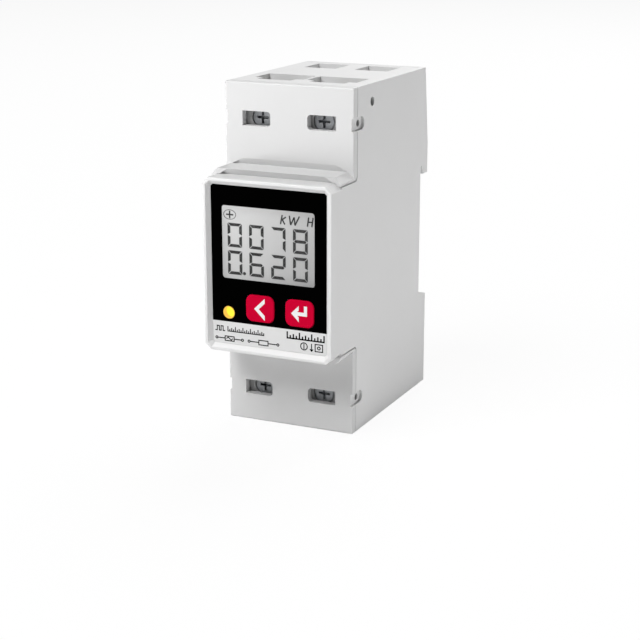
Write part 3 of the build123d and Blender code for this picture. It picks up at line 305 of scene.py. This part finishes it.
dress(window_acrylic, "display_window")

# Liquid crystal display: a glass cell with a grey polariser behind it.
# Its glow is emission, painted light that lifts the shade of its recess, with painted shade falling off
# evenly from the upper left to the lower right.
painted_shade_across, painted_shade_down = 0.62, 0.38
lcd_cell, tree, output = new_material("lcd_glass_painted_glow")
place = add_node(tree, "ShaderNodeTexCoord").outputs["Object"]
glass_low, glass_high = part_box("lcd_glass")
corner = add_node(tree, "ShaderNodeSeparateXYZ", None, {"Vector": place})
rightward = add_node(tree, "ShaderNodeMapRange", None, {
    "Value": corner.outputs["X"], 1: glass_low.x, 2: glass_high.x, 3: 0.0, 4: painted_shade_across})
downward = add_node(tree, "ShaderNodeMapRange", None, {
    "Value": corner.outputs["Z"], 1: glass_high.z, 2: glass_low.z, 3: 0.0, 4: painted_shade_down})
painted_shade = add_node(tree, "ShaderNodeMath", {"operation": "ADD"}, {
    0: rightward.outputs["Result"], 1: downward.outputs["Result"]})
tone = add_node(tree, "ShaderNodeMix", {"data_type": "RGBA"}, {
    "Factor": painted_shade.outputs["Value"], 6: linear("#D2D2D2"), 7: linear("#6E6E6E")})
surface = add_node(tree, "ShaderNodeBsdfPrincipled", None, {
    "Base Color": linear("#7C7C7C"), "Roughness": 0.45, "Specular IOR Level": 0.1,
    "Emission Color": tone.outputs[2], "Emission Strength": 0.9})
tree.links.new(surface.outputs["BSDF"], output.inputs["Surface"])
dress(lcd_cell, "lcd_glass")
# Where a segment is driven, the cell lets no light through and looks almost black.
lcd_ink = moulded("liquid_crystal_lit", "#242424", "#1E1E1E", 0.6, 0.3, 0.001, 0.02)
dress(lcd_ink, "lcd_segments")

# Light guide and frame behind the display, both moulded and clipped to the display board.
# The guide is milky acrylic, and the frame is white styrene plastic that keeps the light in.
guide_acrylic = moulded("acrylic_milky", "#E9ECEA", "#E1E4E2", 0.25, 0.8, 0.003)
frame_plastic = moulded("abs_white", "#E0E0DE", "#D8D8D6", 0.45, 0.4, 0.006)
dress(guide_acrylic, "backlight_plate")
dress(frame_plastic, "lcd_frame")

# Keys: two caps that stand in holes of the fascia and press on switches of the display board.
# Silicone rubber, solid red, with the arrows as white inlays moulded in a second shot.
key_silicone = moulded("silicone_red", "#C90030", "#C5002E", 0.6, 0.3, 0.002, 0.02, 6.0)
inlay_silicone = moulded("silicone_white", "#EEEEEE", "#EAEAEA", 0.5, 0.3, 0.002, 0.2)
# The switches and their plungers are black polyamide.
switch_plastic = moulded("polyamide_switch_black", "#1A1A1A", "#121212", 0.45, 0.5, 0.004)
dress(key_silicone, "key_left", "key_right")
dress(inlay_silicone, "key_left_arrow", "key_right_arrow")
dress(switch_plastic, "key_switches", "key_left_plunger", "key_right_plunger")

# Pulse lamp: a lit light pipe of tinted acrylic, pressed into the fascia from behind.
# Its sunk front glows yellow, and the thin collar round it orange: partly the deeper tint of the thicker
# acrylic, partly painted shade of the hole's wall.
glow_from_mm, glow_full_mm = 1.45, 1.58
swirl_mm = 1.5
lamp_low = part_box("pulse_lamp")[0]
lamp_glow, tree, output = new_material("light_pipe_yellow_lit")
place = add_node(tree, "ShaderNodeTexCoord").outputs["Object"]
depth = add_node(tree, "ShaderNodeSeparateXYZ", None, {"Vector": place})
inside = add_node(tree, "ShaderNodeMapRange", None, {
    "Value": depth.outputs["Y"], 3: 0.0, 4: 1.0,
    1: lamp_low.y + glow_from_mm / 1000, 2: lamp_low.y + glow_full_mm / 1000})
swirl = add_node(tree, "ShaderNodeTexNoise", None, {
    "Vector": place, "Scale": 1000 / swirl_mm, "Detail": 1.0})
yellow = add_node(tree, "ShaderNodeMix", {"data_type": "RGBA"}, {
    "Factor": swirl.outputs["Fac"], 6: linear("#FFFB40"), 7: linear("#FFFF50")})
tone = add_node(tree, "ShaderNodeMix", {"data_type": "RGBA"}, {
    "Factor": inside.outputs["Result"], 6: linear("#F4BE55"), 7: yellow.outputs[2]})
surface = add_node(tree, "ShaderNodeBsdfPrincipled", None, {
    "Base Color": linear("#6B5A18"), "Roughness": 0.4, "Specular IOR Level": 0.1,
    "Emission Color": tone.outputs[2], "Emission Strength": 0.92})
tree.links.new(surface.outputs["BSDF"], output.inputs["Surface"])
dress(lamp_glow, "pulse_lamp")

# Circuit boards: green solder mask over woven glass laminate.
# The weave shows faintly through the mask.
weave_mm = 0.5
board_mask, tree, output = new_material("solder_mask_green")
place = add_node(tree, "ShaderNodeTexCoord").outputs["Object"]
weave = add_node(tree, "ShaderNodeTexWave", {"wave_type": "BANDS", "bands_direction": "Z"}, {
    "Vector": place, "Scale": 1000 / weave_mm / 6.283, "Distortion": 1.0})
tone = add_node(tree, "ShaderNodeMix", {"data_type": "RGBA"}, {
    "Factor": weave.outputs["Fac"], 6: linear("#0E4A26"), 7: linear("#125830")})
surface = add_node(tree, "ShaderNodeBsdfPrincipled", None, {
    "Base Color": tone.outputs[2], "Roughness": 0.3, "IOR": 1.55})
tree.links.new(surface.outputs["BSDF"], output.inputs["Surface"])
dress(board_mask, "display_board", "main_board")

# Parts on the boards, soldered down, each in the finish it is sold in.
# Chips and optocoupler: black epoxy mould compound, dull from the tool.
chip_epoxy = moulded("mould_compound_black", "#1D1D1F", "#151517", 0.5, 0.4, 0.008)
# Header between the boards: black polyester.
header_plastic = moulded("polyester_header_black", "#19191A", "#111112", 0.4, 0.5, 0.004)
# Mains capacitor: a yellow polypropylene box.
box_plastic = moulded("polypropylene_yellow", "#D6A62C", "#CB9A24", 0.35, 0.5, 0.004)
# Varistor: a disc dipped in blue epoxy, wavy where it ran off.
disc_coating = moulded("epoxy_dip_blue", "#2B5FA8", "#24549A", 0.3, 1.2, 0.03)
# Inrush resistor: green cement over the wire winding.
tube_coating = moulded("cement_green", "#7D8F6E", "#728464", 0.7, 0.5, 0.02)
# Smoothing capacitors: a plain navy sleeve shrunk on aluminium cans.
can_sleeve = moulded("shrink_sleeve_navy", "#26304E", "#1E2741", 0.3, 0.8, 0.004)
# Sense leads: red vinyl insulation.
lead_insulation = moulded("pvc_insulation_red", "#A8201C", "#991814", 0.4, 0.6, 0.004)
# Crystal: a drawn can of nickel silver.
can_steel = metal("drawn_nickel_silver", "#BDBFC2", "#A7AAAE", 0.3, 0.5, 1)
dress(chip_epoxy, "microcontroller", "metering_chip", "optocoupler")
dress(header_plastic, "board_header")
dress(box_plastic, "mains_capacitor")
dress(disc_coating, "varistor")
dress(tube_coating, "inrush_resistor")
dress(can_sleeve, "smoothing_capacitors")
dress(lead_insulation, "sense_leads")
dress(can_steel, "crystal")

# Floor: a plain sheet of white paper under the meter.
# The camera sees it as almost pure white, and a faint shadow of the meter stays on it.
floor_size = 8.0
floor_white_share = 0.92
floor_z = cad_low.z
bpy.ops.mesh.primitive_plane_add(size=floor_size, location=(0, 0, floor_z))
floor = bpy.context.object
floor.name = "floor"
paper, tree, output = new_material("white_paper")
path = add_node(tree, "ShaderNodeLightPath")
diffuse = add_node(tree, "ShaderNodeBsdfDiffuse", None, {"Color": linear("#F0F0F0")})
white = add_node(tree, "ShaderNodeEmission", None, {"Color": linear("#FFFFFF"), "Strength": 1.0})
seen = add_node(tree, "ShaderNodeMath", {"operation": "MULTIPLY"}, {
    0: path.outputs["Is Camera Ray"], 1: floor_white_share})
mixed = add_node(tree, "ShaderNodeMixShader", None, {
    0: seen.outputs["Value"], 1: diffuse.outputs["BSDF"], 2: white.outputs["Emission"]})
tree.links.new(mixed.outputs["Shader"], output.inputs["Surface"])
floor.data.materials.append(paper)

# Studio light: a key light high in front and to the left, one high behind, a fill on the right, and
# a small light table on the floor to the left, which lifts the upper cover more than the lower one.


def area_light(name, power, size, place, turn):
    """One square area light that the camera doesn't see; it shines along its own -Z."""
    lamp = bpy.data.lights.new(name, "AREA")
    lamp.energy = power
    lamp.size = size
    holder = bpy.data.objects.new(name, lamp)
    holder.location = place
    holder.rotation_euler = turn
    holder.visible_camera = False
    bpy.context.scene.collection.objects.link(holder)


soft_boxes = {
    "soft_box_key": {"azimuth": -21, "height": 50, "size": 0.75, "power": 16.0},
    "soft_box_back": {"azimuth": 180, "height": 46, "size": 0.9, "power": 12.2},
    "soft_box_right": {"azimuth": 105, "height": 5, "size": 0.6, "power": 5.0},
}
soft_box_reach = 1.3
for name, box in soft_boxes.items():
    azimuth, height = math.radians(box["azimuth"]), math.radians(box["height"])
    place = (soft_box_reach * math.sin(azimuth) * math.cos(height),
             -soft_box_reach * math.cos(azimuth) * math.cos(height),
             soft_box_reach * math.sin(height))
    area_light(name, box["power"], box["size"], place, (math.pi / 2 - height, 0, azimuth))
area_light("light_table", 1.8, 0.2, (-0.30, -0.20, floor_z + 0.005), (math.pi, 0, 0))
world = bpy.data.worlds.new("studio")
bpy.context.scene.world = world
world.use_nodes = True
tree = world.node_tree
tree.nodes.clear()
path = add_node(tree, "ShaderNodeLightPath")
# White to the camera beyond the floor's edge, and almost dark as a light.
sky_light = 0.02
seen = add_node(tree, "ShaderNodeMath", {"operation": "MULTIPLY_ADD"}, {
    0: path.outputs["Is Camera Ray"], 1: 1.0 - sky_light, 2: sky_light})
sky = add_node(tree, "ShaderNodeBackground", None, {
    "Color": linear("#FFFFFF"), "Strength": seen.outputs["Value"]})
add_node(tree, "ShaderNodeOutputWorld", None, {"Surface": sky.outputs["Background"]})

# Camera: in front, to the right and a little above, as in the photograph.
# Place, turn and focal length (mm, for a 36 mm sensor) come from fitting the meter's corners.
lens = bpy.data.cameras.new("camera")
lens.sensor_width = 36.0
lens.lens = 88.218
camera = bpy.data.objects.new("camera", lens)
camera.location = (0.171724, -0.399042, 0.094347)
camera.rotation_euler = (math.radians(90 - 15.7215), 0, math.radians(24.8016))
bpy.context.scene.collection.objects.link(camera)
bpy.context.scene.camera = camera
bpy.context.scene.view_settings.view_transform = "Standard"
